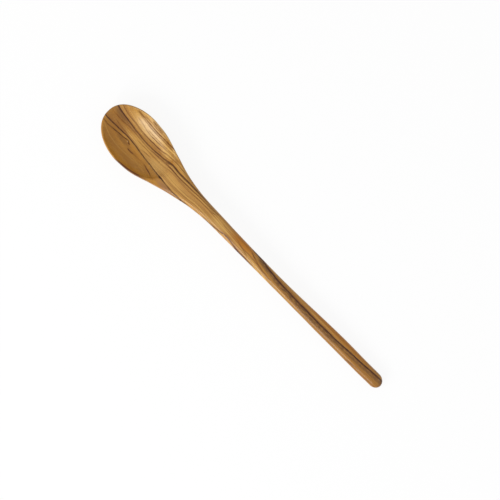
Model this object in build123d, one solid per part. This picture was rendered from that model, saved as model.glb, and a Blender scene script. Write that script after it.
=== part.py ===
"""Wooden spoon carved from a single billet of teak, in millimetres.

The spoon lies on its back as on a table: +X runs from the tip of the bowl to the end of the
handle, +Z is up out of the hollow, and the origin is under the middle of the whole spoon, on the
table. Guide lines give the plan, the top, the underside and the widest edge at any distance from
the tip. Cross-sections drawn on those lines are lofted into the outer body. The hollow is a second
loft, through its contours from the mouth down to the floor, and the inner edge of the level rim
round it is eased.
"""

import os
from math import cos, radians

from build123d import *

# Distances from the tip of the bowl
spoon_length = 300.0
widest_from_tip = 31.5
belly_from_tip = 40.0
shoulder_from_tip = 76.0
neck_end_from_tip = 118.0
waist_from_tip = 188.0
grip_from_tip = 258.0

# Widths seen from above
bowl_width = 43.9
neck_width = 11.4
waist_width = 9.9
grip_width = 11.8
end_width = 11.5

# Lengths of the rounding at the bowl's tip and at the handle's end, seen from the side
tip_round = 1.6
end_round = 6.6

# Handle: height of its underside above the table, and its thickness
neck_lift = 6.2
waist_lift = 4.3
grip_lift = 1.3
neck_thickness = 8.8
waist_thickness = 8.2
grip_thickness = 9.0
end_thickness = 8.6

# Rim: a level land round the hollow, with its outer edge rounded and its inner edge eased
rim_height = 14.6
rim_edge = 1.8
tip_edge_thickness = 3.9
tip_land = 2.0
rim_break = 0.35

# Hollow: it leans a little to one side of the neck, as the gouge left it
hollow_width = 40.7
hollow_depth = 9.6
hollow_deepest_from_tip = 34.0
hollow_end_from_tip = 67.0
hollow_lean_degrees = 0.8
overrun = 1.0

# Powers of the curves that swell from an end to their full size: 0.5 is an ellipse
tip_plan_share = 0.455

# Points between two named places, as shares of the distance and of the change
flank_shares = ((0.12, 0.05), (0.37, 0.42), (0.55, 0.70), (0.79, 0.93))
tip_underside_shares = ((0.20, 0.40), (0.50, 0.81))
neck_underside_shares = ((0.20, 0.07), (0.45, 0.44), (0.70, 0.83))
shoulder_edge_share = 0.30

# Share of the half width that is flat on top: at the tip, just behind it, at the widest place,
# at the hollow's end, on the shoulder and along the handle
flat_shares = (0.60, 0.90, 0.965, 0.94, 0.70, 0.25)

# How full a quarter of an oval is: 0.5523 is an ellipse, 1 is nearly a square corner
edge_fullness_share = 0.60
bowl_underside_fullness_share = 0.63
handle_underside_fullness_share = 0.57
mouth_tip_fullness_shares = (0.42, 0.74)
mouth_neck_fullness_shares = (0.20, 0.94)

# Contours of the hollow: depth, and how far in from the mouth towards the deepest place the
# contour lies at the tip, at the neck and at the sides
contour_shares = (
    (0.00, 0.00, 0.00, 0.00),
    (0.22, 0.10, 0.07, 0.03),
    (0.43, 0.21, 0.15, 0.10),
    (0.63, 0.33, 0.25, 0.21),
    (0.79, 0.46, 0.37, 0.35),
    (0.90, 0.60, 0.51, 0.51),
    (0.96, 0.73, 0.67, 0.67),
    (0.99, 0.85, 0.82, 0.82),
    (1.00, 0.95, 0.95, 0.95),
)

# Stations of the body lie like equal steps round a half circle, which crowds them at both ends
body_steps = 36
first_step_degrees = 0.8

# How often each quarter of a cross-section is halved, so that no long face turns through far
quarter_halvings = 2


class GuideLine:
    """A smooth line through (distance, value) points that doesn't swing past any of them."""

    def __init__(self, *points):
        self.points = points
        steps = [(b[0] - a[0], b[1] - a[1]) for a, b in zip(points, points[1:])]
        rates = [change / run for run, change in steps]
        self.slopes = [rates[0]]
        for before, after, rate, next_rate in zip(steps, steps[1:], rates, rates[1:]):
            if rate * next_rate <= 0:
                self.slopes.append(0)
            else:
                weight = 2 * after[0] + before[0]
                next_weight = after[0] + 2 * before[0]
                total = weight + next_weight
                self.slopes.append(total / (weight / rate + next_weight / next_rate))
        self.slopes.append(rates[-1])

    def at(self, distance):
        """Value at a distance from the tip. Past its ends the line stays level."""
        distance = min(max(distance, self.points[0][0]), self.points[-1][0])
        step = 0
        while step < len(self.points) - 2 and distance > self.points[step + 1][0]:
            step += 1
        (start, low), (end, high) = self.points[step], self.points[step + 1]
        run = end - start
        share = (distance - start) / run
        value = low + (high - low) * share**2 * (3 - 2 * share)
        value += self.slopes[step] * run * share * (1 - share) ** 2
        return value - self.slopes[step + 1] * run * share**2 * (1 - share)


def between(start, end, shares):
    """Points on the way from one point to another, at shares of the distance and the change."""
    return [
        (start[0] + along * (end[0] - start[0]), start[1] + change * (end[1] - start[1]))
        for along, change in shares
    ]


def swell(distance, length, power):
    """Share of the full size at a distance from where a curve starts, full at its length."""
    if distance >= length:
        return 1
    return (1 - (1 - distance / length) ** 2) ** power


def rounding(distance, length):
    """Share of the full size at a distance from an end that is rounded like a quarter ellipse."""
    return swell(distance, length, 1 / 2)


def stations(start, end, steps):
    """Distances from start to end, as equal steps round a half circle project onto its diameter."""
    step = (180 - 2 * first_step_degrees) / steps
    angles = [radians(first_step_degrees + step * number) for number in range(steps + 1)]
    return [start + (end - start) * (1 - cos(angle)) / 2 for angle in angles]


def quarter(start, along, across, fullness_shares):
    """Corners of a curve that leaves (start + along, 0) squarely and reaches (start, across)."""
    along_share, across_share = fullness_shares
    return [
        (start + along, 0),
        (start + along, across * across_share),
        (start + along * along_share, across),
        (start, across),
    ]


def halves(corners):
    """Corners of the two curves into which a curve with these corners falls at its middle."""
    first = [corners[0]]
    second = [corners[-1]]
    while len(corners) > 1:
        corners = [
            ((x + next_x) / 2, (y + next_y) / 2) for (x, y), (next_x, next_y) in zip(corners, corners[1:])
        ]
        first.append(corners[0])
        second.insert(0, corners[-1])
    return first, second


def strips(corners, halvings=quarter_halvings):
    """A curve with these corners, as the edges of strips that meet smoothly side by side."""
    if halvings == 0:
        return [Bezier(*corners)]
    first, second = halves(corners)
    return strips(first, halvings - 1) + strips(second, halvings - 1)


# Plan: the flank from the widest place along the handle to where its end begins to round
handle_end_from_tip = spoon_length - end_round
widest = (widest_from_tip, bowl_width / 2)
neck_end = (neck_end_from_tip, neck_width / 2)
flank = GuideLine(
    widest,
    *between(widest, neck_end, flank_shares),
    neck_end,
    (waist_from_tip, waist_width / 2),
    (grip_from_tip, grip_width / 2),
    (handle_end_from_tip, end_width / 2),
)

# Top: the rim, the shoulder behind the hollow and the back of the handle
top_line = GuideLine(
    (0, rim_height),
    (shoulder_from_tip, rim_height),
    (neck_end_from_tip, neck_lift + neck_thickness),
    (waist_from_tip, waist_lift + waist_thickness),
    (grip_from_tip, grip_lift + grip_thickness),
    (handle_end_from_tip, end_thickness),
)

# Underside: it touches the table at the belly and where the handle's end begins to round
tip_underside = (0, rim_height - tip_edge_thickness)
belly = (belly_from_tip, 0)
neck_underside = (neck_end_from_tip, neck_lift)
underside_line = GuideLine(
    tip_underside,
    *between(tip_underside, belly, tip_underside_shares),
    belly,
    *between(belly, neck_underside, neck_underside_shares),
    neck_underside,
    (waist_from_tip, waist_lift),
    (grip_from_tip, grip_lift),
    (handle_end_from_tip, 0),
)

# Widest edge: how far it lies below the top
edge_line = GuideLine(
    (0, rim_edge),
    (widest_from_tip, rim_edge),
    (shoulder_from_tip, rim_edge + shoulder_edge_share * (neck_thickness / 2 - rim_edge)),
    (neck_end_from_tip, neck_thickness / 2),
    (waist_from_tip, waist_thickness / 2),
    (grip_from_tip, grip_thickness / 2),
    (handle_end_from_tip, end_thickness / 2),
)

# Flat: the share of the half width that is flat on top
flat_line = GuideLine(
    *zip(
        (0, tip_land, widest_from_tip, hollow_end_from_tip, shoulder_from_tip, neck_end_from_tip),
        flat_shares,
    )
)
underside_fullness = GuideLine(
    (hollow_end_from_tip, bowl_underside_fullness_share),
    (neck_end_from_tip, handle_underside_fullness_share),
)


def half_width(distance):
    """Half the width of the spoon, seen from above."""
    if distance < widest_from_tip:
        return bowl_width / 2 * swell(distance, widest_from_tip, tip_plan_share)
    return flank.at(distance) * rounding(spoon_length - distance, end_round)


def body_section(distance):
    """The outer cross-section at a distance from the tip: flat top, round edges, oval underside."""
    share = rounding(distance, tip_round) * rounding(spoon_length - distance, end_round)
    side = half_width(distance)
    flat = side * flat_line.at(distance)
    up = edge_line.at(distance)
    level = top_line.at(distance) - up
    down = level - underside_line.at(distance)
    up *= share
    down *= share
    edge_fullness = (edge_fullness_share, edge_fullness_share)
    fullness = (underside_fullness.at(distance), underside_fullness.at(distance))
    outline = [
        *strips(quarter(flat, side - flat, up, edge_fullness)),
        Line((flat, up), (-flat, up)),
        *strips(quarter(-flat, flat - side, up, edge_fullness)[::-1]),
        *strips(quarter(0, -side, -down, fullness)),
        *strips(quarter(0, side, -down, fullness)[::-1]),
    ]
    origin = (distance - spoon_length / 2, 0, level)
    return Plane(origin, x_dir=(0, 1, 0), z_dir=(1, 0, 0)) * make_face(Wire(outline))


def oval(tip, neck, side, height):
    """A level oval through a tip, a neck and the widest places between them, as a face."""
    inset_share = 1 - 2 * side / hollow_width
    middle = widest_from_tip + inset_share * (hollow_deepest_from_tip - widest_from_tip)
    outline = [
        Bezier(*quarter(0, neck - middle, side, mouth_neck_fullness_shares)),
        Bezier(*reversed(quarter(0, tip - middle, side, mouth_tip_fullness_shares))),
        Bezier(*quarter(0, tip - middle, -side, mouth_tip_fullness_shares)),
        Bezier(*reversed(quarter(0, neck - middle, -side, mouth_neck_fullness_shares))),
    ]
    return Plane((middle - spoon_length / 2, 0, height)) * make_face(Wire(outline))


def contour(depth_share, tip_share, neck_share, side_share, outset=0):
    """The outline of the hollow at a share of its depth, set outwards by a length."""
    tip_reach = hollow_deepest_from_tip - tip_land
    neck_reach = hollow_end_from_tip - hollow_deepest_from_tip
    return oval(
        tip_land + tip_share * tip_reach - outset,
        hollow_end_from_tip - neck_share * neck_reach + outset,
        hollow_width / 2 * (1 - side_share) + outset,
        rim_height - hollow_depth * depth_share,
    )


def near_rim(height):
    """Contour shares at a height above or below the rim, on the slope of the wall at the rim."""
    depth_share, *inset_shares = contour_shares[1]
    share = -height / hollow_depth
    return (share, *(share * inset / depth_share for inset in inset_shares))


def outer_body():
    """The spoon before it is hollowed."""
    return loft([body_section(x) for x in stations(0, spoon_length, body_steps)], clean=False)


def scoop():
    """What the gouge takes out of the bowl, from a little above the rim down to the floor."""
    return loft([contour(*shares) for shares in (near_rim(overrun), *contour_shares)], clean=False)


def easing():
    """What is taken off the inner edge of the rim: a band that leans out from the wall."""
    above = contour(*near_rim(overrun), outset=2 * rim_break)
    below = contour(*near_rim(-overrun), outset=0)
    return loft([above, below], ruled=True, clean=False)


def wooden_spoon():
    """The whole spoon, hollowed along a line that leans a little away from its own."""
    pivot = Axis((widest_from_tip - spoon_length / 2, 0, 0), (0, 0, 1))
    spoon = outer_body()
    for cutter in (scoop(), easing()):
        spoon -= cutter.rotate(pivot, hollow_lean_degrees)
    return spoon


spoon = wooden_spoon()
os.makedirs("parts", exist_ok=True)
export_step(spoon, "parts/spoon.step")
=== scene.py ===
"""A carved and oiled teak spoon on a white table, seen from above.

The spoon is one piece of wood, so one mesh stands for it. Its form follows the same guide lines as
the solid in the frame, in millimetres from the tip of the bowl, and its grain is a solid texture:
growth layers that run through the wood, with the dark lines where the eye sees them on top.
"""

from __future__ import annotations

import logging
import math
from dataclasses import dataclass
from enum import Enum

import bmesh
import bpy
import numpy as np
from mathutils import Matrix, Vector, noise
from mathutils.bvhtree import BVHTree

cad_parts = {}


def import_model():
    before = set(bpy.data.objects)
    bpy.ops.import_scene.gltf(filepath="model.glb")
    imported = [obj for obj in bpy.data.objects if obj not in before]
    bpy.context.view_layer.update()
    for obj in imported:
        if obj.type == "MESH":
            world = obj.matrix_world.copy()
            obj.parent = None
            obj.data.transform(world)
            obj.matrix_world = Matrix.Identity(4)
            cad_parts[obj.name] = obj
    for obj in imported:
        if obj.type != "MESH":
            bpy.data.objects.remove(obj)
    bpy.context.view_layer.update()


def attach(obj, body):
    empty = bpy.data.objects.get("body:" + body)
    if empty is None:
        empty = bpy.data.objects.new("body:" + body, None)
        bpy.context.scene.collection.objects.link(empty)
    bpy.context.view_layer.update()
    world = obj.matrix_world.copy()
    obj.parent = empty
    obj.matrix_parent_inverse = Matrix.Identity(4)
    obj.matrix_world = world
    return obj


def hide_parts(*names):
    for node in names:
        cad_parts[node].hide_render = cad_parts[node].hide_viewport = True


MM = 0.001
TINY = 1e-9  # keeps a division by a length safe
HALVINGS = 36  # steps of a search by halves
WHITE = (1, 1, 1, 1)
WHOLE = (0.0, 1.0)  # from nothing to all
FADING = (1.0, 0.0)  # from all to nothing
MIX_INPUTS = (0, 6, 7)  # the Mix node's share and its two colours
MIX_RESULT = 2  # its mixed colour

Array = np.ndarray
Numbers = np.ndarray | float
Pair = tuple[float, float]
Pairs = tuple[Pair, ...]
Triple = tuple[float, float, float]
Node = bpy.types.Node
Socket = bpy.types.NodeSocket
Tree = bpy.types.NodeTree

log = logging.getLogger("spoon")


class GuideLine:
    """A smooth line through (distance, value) points that doesn't swing past any of them."""

    def __init__(self, *points: Pair) -> None:
        """Work out the slope at each point.

        Args:
            points: Distance and value pairs, in rising distance.
        """
        self.distances = np.array([point[0] for point in points], dtype=float)
        self.values = np.array([point[1] for point in points], dtype=float)
        runs = np.diff(self.distances)
        rates = np.diff(self.values) / runs
        slopes = [rates[0]]
        for before, after, rate, next_rate in zip(runs, runs[1:], rates, rates[1:]):
            if rate * next_rate <= 0:
                slopes.append(0.0)
            else:
                weight = 2 * after + before
                next_weight = after + 2 * before
                slopes.append((weight + next_weight) / (weight / rate + next_weight / next_rate))
        slopes.append(rates[-1])
        self.slopes = np.array(slopes)

    def at(self, distance: Numbers) -> Array:
        """Give the values at some distances.

        Args:
            distance: Distances from the tip. Past its ends the line stays level.

        Returns:
            The values there.
        """
        distance = np.clip(distance, self.distances[0], self.distances[-1])
        step = np.clip(np.searchsorted(self.distances, distance) - 1, 0, len(self.distances) - 2)
        run = self.distances[step + 1] - self.distances[step]
        share = (distance - self.distances[step]) / run
        value = self.values[step]
        value = value + (self.values[step + 1] - value) * share**2 * (3 - 2 * share)
        value = value + self.slopes[step] * run * share * (1 - share) ** 2
        return value - self.slopes[step + 1] * run * share**2 * (1 - share)


class RowSpline:
    """A curve with an even bend through evenly spaced values."""

    def __init__(self, values: list[float]) -> None:
        """Solve for the bend at each value.

        Args:
            values: The values at 0, 1, 2 and so on.
        """
        self.values = np.array(values, dtype=float)
        count = len(values)
        system = np.eye(count)
        right = np.zeros(count)
        for row in range(1, count - 1):
            system[row, row - 1 : row + 2] = (1, 4, 1)
            right[row] = 6 * (values[row - 1] - 2 * values[row] + values[row + 1])
        self.bends = np.linalg.solve(system, right)

    def at(self, place: float) -> float:
        """Give the value at a place.

        Args:
            place: A place between 0 and the last value's number.

        Returns:
            The value there.
        """
        row = min(int(place), len(self.values) - 2)
        after = place - row
        before = 1 - after
        value = before * self.values[row] + after * self.values[row + 1]
        value += (before**3 - before) * self.bends[row] / 6
        return value + (after**3 - after) * self.bends[row + 1] / 6


def swell(distance: Numbers, length: float, power: float = 0.5) -> Array:
    """Give the share of the full size at a distance from where a curve starts.

    Args:
        distance: Distances from the start.
        length: Where the curve reaches its full size.
        power: 0.5 makes a quarter ellipse, less a blunter curve.

    Returns:
        Shares from 0 to 1.
    """
    return (1 - (1 - np.clip(distance / length, 0, 1)) ** 2) ** power


def quarter(step: Array, along_share: float, across_share: float) -> tuple[Array, Array]:
    """Follow a quarter of an oval from its edge (1, 0) to its crown (0, 1).

    Args:
        step: How far along the curve, from 0 to 1.
        along_share: How far out the crown's handle reaches.
        across_share: How far up the edge's handle reaches.

    Returns:
        The two coordinates, each from 0 to 1.
    """
    rest = 1 - step
    along = rest**3 + 3 * rest**2 * step + 3 * along_share * rest * step**2
    across = 3 * across_share * rest**2 * step + 3 * rest * step**2 + step**3
    return along, across


def quarter_height(along: Array, fullness: Numbers) -> Array:
    """Give the height of a quarter of an oval over a point between its crown and its edge.

    Args:
        along: Distance from the crown, from 0 to 1.
        fullness: How square the quarter is.

    Returns:
        Heights from 1 at the crown to 0 at the edge.
    """
    low = np.zeros_like(along)
    high = np.ones_like(along)
    for _ in range(HALVINGS):
        middle = (low + high) / 2
        short = quarter(middle, fullness, fullness)[0] > along
        low = np.where(short, middle, low)
        high = np.where(short, high, middle)
    return quarter((low + high) / 2, fullness, fullness)[1]


def linked(name: str, data: bpy.types.ID) -> bpy.types.Object:
    """Put a new object into the scene.

    Args:
        name: Its name.
        data: Its mesh, light or camera.

    Returns:
        The object.
    """
    thing = bpy.data.objects.new(name, data)
    bpy.context.scene.collection.objects.link(thing)
    return thing


def linked_mesh(name: str, mesh_data: bmesh.types.BMesh) -> bpy.types.Object:
    """Put the finished data of a mesh into the scene.

    Args:
        name: The name of the mesh and its object.
        mesh_data: The data, which is freed.

    Returns:
        The object.
    """
    mesh = bpy.data.meshes.new(name)
    mesh_data.to_mesh(mesh)
    mesh_data.free()
    return linked(name, mesh)


@dataclass
class SpoonForm:
    """The form of the spoon, in millimetres, with distances from the tip of the bowl."""

    length: float = 300.0
    widest: float = 31.5
    belly: float = 40.0
    shoulder: float = 76.0
    neck_end: float = 118.0
    waist: float = 188.0
    grip: float = 258.0
    bowl_width: float = 43.6
    neck_width: float = 11.4
    waist_width: float = 9.9
    grip_width: float = 11.8
    end_width: float = 11.5
    tip_round: float = 1.6
    end_round: float = 6.6
    rim_height: float = 14.6
    rim_edge: float = 1.8
    tip_edge_thickness: float = 3.9
    tip_land: float = 2.0
    easing: float = 0.45
    easing_depth: float = 0.9
    neck_easing: float = 2.4
    side_pull: float = 1.2
    hollow_width: float = 40.7
    hollow_depth: float = 9.6
    hollow_deepest: float = 34.0
    hollow_end: float = 67.0
    hollow_lean: float = math.radians(0.8)
    neck_lift: float = 6.2
    waist_lift: float = 4.3
    grip_lift: float = 1.3
    neck_thickness: float = 8.8
    waist_thickness: float = 8.2
    grip_thickness: float = 9.0
    end_thickness: float = 8.6
    tip_plan_power: float = 0.455
    shoulder_edge: float = 0.30
    flank_shares: Pairs = ((0.12, 0.05), (0.37, 0.42), (0.55, 0.70), (0.79, 0.93))
    tip_under_shares: Pairs = ((0.20, 0.40), (0.50, 0.81))
    neck_under_shares: Pairs = ((0.20, 0.07), (0.45, 0.44), (0.70, 0.83))
    flat_shares: tuple[float, ...] = (0.60, 0.90, 0.965, 0.94, 0.70, 0.25)
    under_fullnesses: Pair = (0.63, 0.57)
    edge_fullness: float = 0.60
    mouth_tip_fullness: Pair = (0.42, 0.74)
    mouth_neck_fullness: Pair = (0.20, 0.94)
    contours: tuple[tuple[float, float, float, float], ...] = (
        (0.00, 0.00, 0.00, 0.00), (0.22, 0.10, 0.07, 0.03), (0.43, 0.21, 0.15, 0.10),
        (0.63, 0.33, 0.25, 0.21), (0.79, 0.46, 0.37, 0.35), (0.90, 0.60, 0.51, 0.51),
        (0.96, 0.73, 0.67, 0.67), (0.99, 0.85, 0.82, 0.82), (1.00, 0.95, 0.95, 0.95),
    )
    sway_points: Pairs = (
        (0.0, 1.1), (5.0, 0.85), (11.0, 0.55), (20.0, 0.3), (27.0, 0.08), (40.0, -0.2), (52.0, -0.3),
        (63.0, -0.25), (82.0, -0.4), (97.0, 0.0), (116.0, 0.42), (136.0, 0.1), (155.0, -0.15),
        (190.0, -0.38), (228.0, 0.0), (258.0, 0.3), (280.0, 0.15), (292.0, 0.3), (300.0, 0.0),
    )

    def __post_init__(self) -> None:
        """Draw the guide lines and the rows of the hollow's contours."""
        handle = (self.neck_end, self.waist, self.grip, self.length - self.end_round)
        widths = (self.neck_width, self.waist_width, self.grip_width, self.end_width)
        lifts = (self.neck_lift, self.waist_lift, self.grip_lift, 0)
        depths = (self.neck_thickness, self.waist_thickness, self.grip_thickness, self.end_thickness)
        widest = (self.widest, self.bowl_width / 2)
        flank = [(place, width / 2) for place, width in zip(handle, widths)]
        self.flank = GuideLine(widest, *self.between(widest, flank[0], self.flank_shares), *flank)
        tops = [(place, lift + depth) for place, lift, depth in zip(handle, lifts, depths)]
        self.top = GuideLine((0, self.rim_height), (self.shoulder, self.rim_height), *tops)
        tip, belly = (0, self.rim_height - self.tip_edge_thickness), (self.belly, 0)
        feet = list(zip(handle, lifts))
        self.underside = GuideLine(
            tip,
            *self.between(tip, belly, self.tip_under_shares),
            belly,
            *self.between(belly, feet[0], self.neck_under_shares),
            *feet,
        )
        self.edge = GuideLine(
            (0, self.rim_edge),
            (self.widest, self.rim_edge),
            (self.shoulder, self.rim_edge + self.shoulder_edge * (self.neck_thickness / 2 - self.rim_edge)),
            *((place, depth / 2) for place, depth in zip(handle, depths)),
        )
        places = (0, self.tip_land, self.widest, self.hollow_end, self.shoulder, self.neck_end)
        self.flat = GuideLine(*zip(places, self.flat_shares))
        self.under_fullness = GuideLine(*zip((self.hollow_end, self.neck_end), self.under_fullnesses))
        self.sway = GuideLine(*self.sway_points)
        self.rows = [RowSpline(list(column)) for column in zip(*self.contours)]

    @staticmethod
    def between(start: Pair, end: Pair, shares: Pairs) -> list[Pair]:
        """Give points on the way between two others.

        Args:
            start: The first distance and value.
            end: The last distance and value.
            shares: Shares of the distance and of the change, point by point.

        Returns:
            The points.
        """
        return [
            (start[0] + along * (end[0] - start[0]), start[1] + change * (end[1] - start[1]))
            for along, change in shares
        ]

    def half_width(self, distance: Numbers) -> Array:
        """Give half the width seen from above.

        Args:
            distance: Distances from the tip.

        Returns:
            The half widths there.
        """
        tip = self.bowl_width / 2 * swell(distance, self.widest, self.tip_plan_power)
        rest = self.flank.at(distance) * swell(self.length - distance, self.end_round)
        return np.where(distance < self.widest, tip, rest)

    def heights(self, distance: Array) -> tuple[Array, Array, Array]:
        """Give the height of the widest line, and how far the spoon goes above and below it.

        Args:
            distance: Distances from the tip.

        Returns:
            The heights of the line, the reach above it and the reach below it.
        """
        share = swell(distance, self.tip_round) * swell(self.length - distance, self.end_round)
        up = self.edge.at(distance)
        level = self.top.at(distance) - up
        return level, up * share, (level - self.underside.at(distance)) * share

    def top_height(self, distance: Array, across: Array) -> Array:
        """Give the height of the top, as if it had no hollow.

        Args:
            distance: Distances from the tip.
            across: Distances from the middle, as shares of the half width.

        Returns:
            The heights.
        """
        level, up, _ = self.heights(distance)
        flat = self.flat.at(distance)
        corner = np.clip((np.abs(across) - flat) / (1 - flat), 0, 1)
        return level + up * quarter_height(corner, self.edge_fullness)

    def under_height(self, distance: Array, across: Array) -> Array:
        """Give the height of the underside.

        Args:
            distance: Distances from the tip.
            across: Distances from the middle, as shares of the half width.

        Returns:
            The heights.
        """
        level, _, down = self.heights(distance)
        fullness = self.under_fullness.at(distance)
        return level - down * quarter_height(np.abs(across), fullness)

    def contour_points(
        self, place: float, steps: Array, neck_part: Array, side: int, outset: float
    ) -> Array:
        """Follow one contour of the hollow on one side, from the tip to the neck.

        Args:
            place: The contour's number, from 0 at the mouth to the last at the floor.
            steps: How far along its quarter each point lies, from the widest place outwards.
            neck_part: True where a point is on the quarter towards the neck.
            side: 1 for the side of +Y, -1 for the other.
            outset: How far outside the contour the points lie.

        Returns:
            Points of distance, offset and height.
        """
        depth, tip_share, neck_share, side_share = (row.at(place) for row in self.rows)
        tip = self.tip_land + tip_share * (self.hollow_deepest - self.tip_land) - outset
        neck = self.hollow_end - neck_share * (self.hollow_end - self.hollow_deepest)
        neck += outset * self.neck_easing / self.easing
        half = self.hollow_width / 2 * (1 - side_share) + outset
        middle = self.widest + side_share * (self.hollow_deepest - self.widest)
        tip_along, tip_across = quarter(steps, *self.mouth_tip_fullness)
        neck_along, neck_across = quarter(steps, *self.mouth_neck_fullness)
        along = np.where(neck_part, (neck - middle) * neck_along, (tip - middle) * tip_along)
        drawn_in = np.where(neck_part, outset * self.side_pull * (4 * steps * (1 - steps)) ** 2, 0)
        across = side * (half * np.where(neck_part, neck_across, tip_across) - drawn_in)
        along = along + middle - self.widest
        cos, sin = math.cos(self.hollow_lean), math.sin(self.hollow_lean)
        height = np.full_like(along, self.rim_height - self.hollow_depth * depth)
        distance = self.widest + along * cos - across * sin
        return np.stack([distance, along * sin + across * cos, height], axis=1)


@dataclass
class Patch:
    """A grid of points with their places on the flat map of the surface."""

    points: Array
    flat: Array


@dataclass
class Spoon:
    """The spoon's mesh: bowl, hollow, land, shoulder, handle and underside in one skin."""

    form: SpoonForm
    half_ring: int = 120
    land_columns: int = 9
    under_columns: int = 64
    shoulder_rows: int = 22
    handle_rows: int = 150
    end_rows: int = 18
    rings_per_contour: int = 5
    straight_from: float = 82.0
    mouth_samples: int = 2001
    outline_samples: int = 6001
    easing_turns: tuple[float, ...] = (0, 22.5, 45, 67.5, 90)
    weld: float = 0.002
    same_place: float = 1e-8
    map_side: float = 151.0
    map_gap: float = 1.2
    handle_cuts: Pair = (108.0, 204.0)
    relief: float = 0.05
    sanded: float = 1.4
    sanding_steps: Triple = (13.0, 7.0, 7.0)
    surface: Surface | None = None

    def ring_steps(self) -> tuple[Array, Array]:
        """Space points evenly along one side of the mouth.

        Returns:
            The step of each point on its quarter, and which points lie towards the neck.
        """
        dense = np.linspace(0, 1, self.mouth_samples)
        steps = np.concatenate([dense, dense[::-1][1:]])
        neck_part = np.concatenate([np.zeros(dense.size, bool), np.ones(dense.size - 1, bool)])
        points = self.form.contour_points(0, steps, neck_part, 1, 0)
        travel = np.concatenate([[0], np.cumsum(np.linalg.norm(np.diff(points, axis=0), axis=1))])
        wanted = np.linspace(0, travel[-1], self.half_ring + 1)
        order = np.interp(wanted, travel, np.arange(travel.size))
        neck = order > dense.size - 1
        step = np.where(neck, 2 - order / (dense.size - 1), order / (dense.size - 1))
        return np.clip(step, 0, 1), neck

    def outline_foot(self, points: Array) -> Array:
        """Find the place on the outline that lies nearest to each point beside it.

        Args:
            points: Points of the mouth's edge, from the tip.

        Returns:
            The distances of those places from the tip.
        """
        distances = self.form.neck_end * np.linspace(0, 1, self.outline_samples) ** 2
        outline = np.stack([distances, self.form.half_width(distances)], axis=1)
        beside = np.stack([points[:, 0], np.abs(points[:, 1])], axis=1)
        gaps = np.linalg.norm(outline[None, :, :] - beside[:, None, :], axis=2)
        feet = distances[np.argmin(gaps, axis=1)]
        feet[0] = 0.0
        return feet

    def hollow_rings(self, steps: Array, neck: Array) -> Array:
        """Make the rings of the hollow, from its eased edge down to the middle of its floor.

        Args:
            steps: The step of each point on its quarter.
            neck: Which points lie towards the neck.

        Returns:
            Rings of points, all the way round, the first and the last point of a ring the same.
        """
        form = self.form
        first_place = form.easing_depth / form.hollow_depth / form.contours[1][0]
        turns = [math.radians(angle) for angle in self.easing_turns]
        first_places = [first_place * (1 - math.cos(turn)) for turn in turns]
        places = list(zip(first_places, [form.easing * (1 - math.sin(turn)) for turn in turns]))
        last = len(form.contours) - 1
        count = last * self.rings_per_contour
        shares = np.linspace(0, 1, count + 1)[1:]
        places += [(first_place + (last - first_place) * share, 0.0) for share in shares]
        rings = []
        for place, outset in places:
            left = form.contour_points(place, steps, neck, 1, outset)
            right = form.contour_points(place, steps, neck, -1, outset)
            rings.append(np.concatenate([left, right[::-1][1:]]))
        floor = rings[-1].mean(axis=0)
        rings = np.array([*rings, np.tile(floor, (rings[-1].shape[0], 1))])
        drop = form.rim_height - self.raised(rings[0][:, 0], rings[0][:, 1])[:, 2]
        fading = np.clip(1 - np.arange(len(rings)) / len(turns), 0, 1)
        rings[..., 2] -= drop * fading[:, None]
        return rings

    def land(self, mouth: Array, feet: Array, side: int) -> Array:
        """Make the land between the outline and the mouth on one side, from the tip to the corner.

        Args:
            mouth: Points of the mouth's edge on that side.
            feet: Distances along the outline that face them.
            side: 1 for the side of +Y, -1 for the other.

        Returns:
            A grid of points, one row for each point of the mouth.
        """
        shares = 1 - np.cos(np.linspace(0, math.pi / 2, self.land_columns + 1))
        outline = np.stack([feet, side * self.form.half_width(feet)], axis=1)
        plan = outline[:, None, :] + (mouth[:, None, :2] - outline[:, None, :]) * shares[None, :, None]
        return self.raised(plan[..., 0], plan[..., 1])

    def raised(self, distance: Array, offset: Array) -> Array:
        """Put points of the plan on the top of the spoon.

        Args:
            distance: Their distances from the tip.
            offset: Their offsets from the middle.

        Returns:
            The points.
        """
        half = np.maximum(self.form.half_width(distance), TINY)
        across = np.clip(offset / half, -1, 1)
        return np.stack([distance, offset, self.form.top_height(distance, across)], axis=-1)

    def stations(self, start: float) -> Array:
        """Space the rows of the handle, evenly at first and by equal turns round its end.

        Args:
            start: The first row's distance from the tip.

        Returns:
            The distances of all rows.
        """
        bend = self.form.length - self.form.end_round
        straight = np.linspace(start, bend, self.handle_rows + 1)
        turns = np.linspace(0, math.pi / 2, self.end_rows + 1)[1:]
        return np.concatenate([straight, bend + self.form.end_round * np.sin(turns)])

    def shoulder_and_handle(self, first: Array) -> Array:
        """Make the top from the row behind the hollow to the handle's end.

        Args:
            first: The row that runs over one land, round the back of the mouth and over the other.

        Returns:
            A grid of points, the first row as given.
        """
        form = self.form
        half = form.half_width(first[:, 0])
        start_share = first[:, 1] / half
        end_share = np.cos(np.linspace(0, math.pi, first.shape[0]))
        left, right = first[0, 0], first[-1, 0]
        tilt = np.linspace(0, 1, first.shape[0])
        base = left + (right - left) * (1 - np.cos(tilt * math.pi)) / 2
        ahead = first[:, 0] - base
        rows = [first]
        for row in range(1, self.shoulder_rows + 1):
            share = row / self.shoulder_rows
            ease = share**2 * (3 - 2 * share)
            distance = base + (self.straight_from - base) * share + ahead * (1 - share) ** 2
            across = start_share + (end_share - start_share) * ease
            rows.append(self.raised(distance, across * form.half_width(distance)))
        for station in self.stations(self.straight_from)[1:]:
            distance = np.full(first.shape[0], station)
            rows.append(self.raised(distance, end_share * form.half_width(distance)))
        return np.array(rows)

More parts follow.
